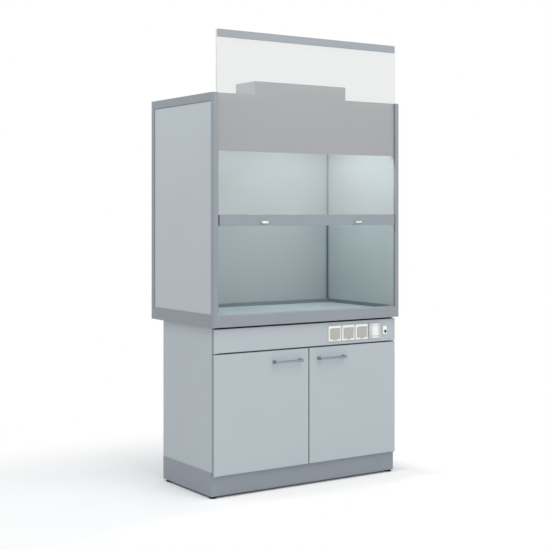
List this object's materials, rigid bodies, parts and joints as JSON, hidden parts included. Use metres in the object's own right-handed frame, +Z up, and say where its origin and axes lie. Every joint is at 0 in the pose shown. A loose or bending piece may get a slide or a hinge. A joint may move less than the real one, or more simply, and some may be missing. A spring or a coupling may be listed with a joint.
{
  "type": "laboratory fume hood",
  "caption": "Fume hood with a counterbalanced vertical glass sash on a base cabinet with doors, covered sockets and switches.",
  "frame": {"origin": "on the floor, under the middle of the whole object", "axes": "+X to the right as seen by a person standing at the sash, +Y to the back, +Z up"},
  "size_m": [1.2, 0.669, 2.352],
  "materials": {
    "frame_paint": "satin",
    "panel_paint": "satin",
    "liner": "satin",
    "trim": "matt",
    "worktop": "satin",
    "plinth_paint": "satin",
    "board": "melamine faced",
    "lamp_paint": "satin",
    "lamp_glass": "clear",
    "tube": "opal",
    "holder": "gloss",
    "seal": "matt",
    "steel": "satin",
    "cable": "stranded",
    "sash_glass": "clear",
    "rail": "anodised",
    "pull": "polished",
    "shoe": "matt",
    "weight": "painted",
    "wheel": "matt",
    "handle": "anodised",
    "socket": "satin",
    "lid": "satin",
    "rocker": "gloss",
    "foot": "matt"
  },
  "bodies": {
    "hood": {"post_front_left": "frame_paint", "post_front_right": "frame_paint", "post_rear_left": "frame_paint", "post_rear_right": "frame_paint", "sill_beam": "frame_paint", "base_frame": "frame_paint", "top_frame": "frame_paint", "side_panel_left": "panel_paint", "side_panel_right": "panel_paint", "side_liner_left": "liner", "side_liner_right": "liner", "back_panel": "liner", "corner_trims": "trim", "fascia": "frame_paint", "roof_panel": "liner", "worktop": "worktop", "exhaust_collar": "lamp_paint", "lamp_housing": "lamp_paint", "lamp_pane": "lamp_glass", "lamp_tubes": "tube", "lamp_holders": "holder", "sash_seals": "seal", "pulley_brackets": "steel", "weight_guides": "steel", "cable_bends": "cable", "cable_drops_front": "cable", "cable_drops_rear": "cable", "cabinet_side_left": "board", "cabinet_side_right": "board", "cabinet_bottom": "board", "cabinet_back": "board", "cabinet_shelf": "board", "service_deck": "board", "control_panel": "panel_paint", "plinth": "plinth_paint", "hinge_brackets": "steel", "socket_frames": "socket", "switch_frames": "socket"},
    "sash": {"sash_glass": "sash_glass", "sash_top_rail": "rail", "sash_bottom_rail": "rail", "sash_pulls": "pull", "sash_shoes": "shoe"},
    "weight_left": {"counterweight_left": "weight"},
    "weight_right": {"counterweight_right": "weight"},
    "wheel_left": {"pulley_left": "wheel"},
    "wheel_right": {"pulley_right": "wheel"},
    "left_door": {"door_left": "panel_paint", "door_handle_left": "handle"},
    "right_door": {"door_right": "panel_paint", "door_handle_right": "handle"},
    "lid_left": {"socket_lid_left": "lid"},
    "lid_middle": {"socket_lid_middle": "lid"},
    "lid_right": {"socket_lid_right": "lid"},
    "light_rocker": {"light_switch_rocker": "rocker"},
    "fan_button": {"fan_switch_button": "socket"},
    "leg_front_left": {"foot_front_left": "foot"},
    "leg_front_right": {"foot_front_right": "foot"},
    "leg_rear_left": {"foot_rear_left": "foot"},
    "leg_rear_right": {"foot_rear_right": "foot"}
  },
  "joints": [
    {"name": "sash_lift", "type": "slide", "parent": "hood", "child": "sash", "axis": [0, 0, 1], "range_m": [-0.449, 0.315], "deforming": ["cable_drops_front"]},
    {"name": "weight_left_slide", "type": "slide", "parent": "hood", "child": "weight_left", "axis": [0, 0, 1], "range_m": [-0.315, 0.449], "deforming": ["cable_drops_rear"]},
    {"name": "wheel_left_turn", "type": "hinge", "parent": "hood", "child": "wheel_left", "pos_m": [-0.58225, -0.2165, 1.949], "axis": [1, 0, 0], "range_deg": [-240.7, 343.1]},
    {"name": "weight_right_slide", "type": "slide", "parent": "hood", "child": "weight_right", "axis": [0, 0, 1], "range_m": [-0.315, 0.449]},
    {"name": "wheel_right_turn", "type": "hinge", "parent": "hood", "child": "wheel_right", "pos_m": [0.58225, -0.2165, 1.949], "axis": [1, 0, 0], "range_deg": [-240.7, 343.1]},
    {"name": "left_door_hinge", "type": "hinge", "parent": "hood", "child": "left_door", "pos_m": [-0.575, -0.2855, 0.4185], "axis": [0, 0, -1], "range_deg": [0, 110]},
    {"name": "right_door_hinge", "type": "hinge", "parent": "hood", "child": "right_door", "pos_m": [0.575, -0.2855, 0.4185], "axis": [0, 0, 1], "range_deg": [0, 110]},
    {"name": "lid_left_hinge", "type": "hinge", "parent": "hood", "child": "lid_left", "pos_m": [0.165, -0.3048, 0.8145], "axis": [-1, 0, 0], "range_deg": [0, 95]},
    {"name": "lid_middle_hinge", "type": "hinge", "parent": "hood", "child": "lid_middle", "pos_m": [0.255, -0.3048, 0.8145], "axis": [-1, 0, 0], "range_deg": [0, 95]},
    {"name": "lid_right_hinge", "type": "hinge", "parent": "hood", "child": "lid_right", "pos_m": [0.345, -0.3048, 0.8145], "axis": [-1, 0, 0], "range_deg": [0, 95]},
    {"name": "light_switch_rock", "type": "hinge", "parent": "hood", "child": "light_rocker", "pos_m": [0.435, -0.2975, 0.7895], "axis": [1, 0, 0], "range_deg": [0, 8]},
    {"name": "fan_switch_rock", "type": "hinge", "parent": "hood", "child": "fan_button", "pos_m": [0.5075, -0.2965, 0.7895], "axis": [1, 0, 0], "range_deg": [0, 8]},
    {"name": "leg_front_left_turn", "type": "hinge", "parent": "hood", "child": "leg_front_left", "pos_m": [-0.562, -0.253, 0], "axis": [0, 0, 1], "continuous": true},
    {"name": "leg_rear_left_turn", "type": "hinge", "parent": "hood", "child": "leg_rear_left", "pos_m": [-0.562, 0.1935, 0], "axis": [0, 0, 1], "continuous": true},
    {"name": "leg_front_right_turn", "type": "hinge", "parent": "hood", "child": "leg_front_right", "pos_m": [0.562, -0.253, 0], "axis": [0, 0, 1], "continuous": true},
    {"name": "leg_rear_right_turn", "type": "hinge", "parent": "hood", "child": "leg_rear_right", "pos_m": [0.562, 0.1935, 0], "axis": [0, 0, 1], "continuous": true}
  ],
  "couplings": [
    {"joint": "weight_left_slide", "follows": "sash_lift", "ratio": -1},
    {"joint": "weight_right_slide", "follows": "sash_lift", "ratio": -1},
    {"joint": "wheel_left_turn", "follows": "sash_lift", "rad_per_m": -13.333},
    {"joint": "wheel_right_turn", "follows": "sash_lift", "rad_per_m": -13.333}
  ]
}
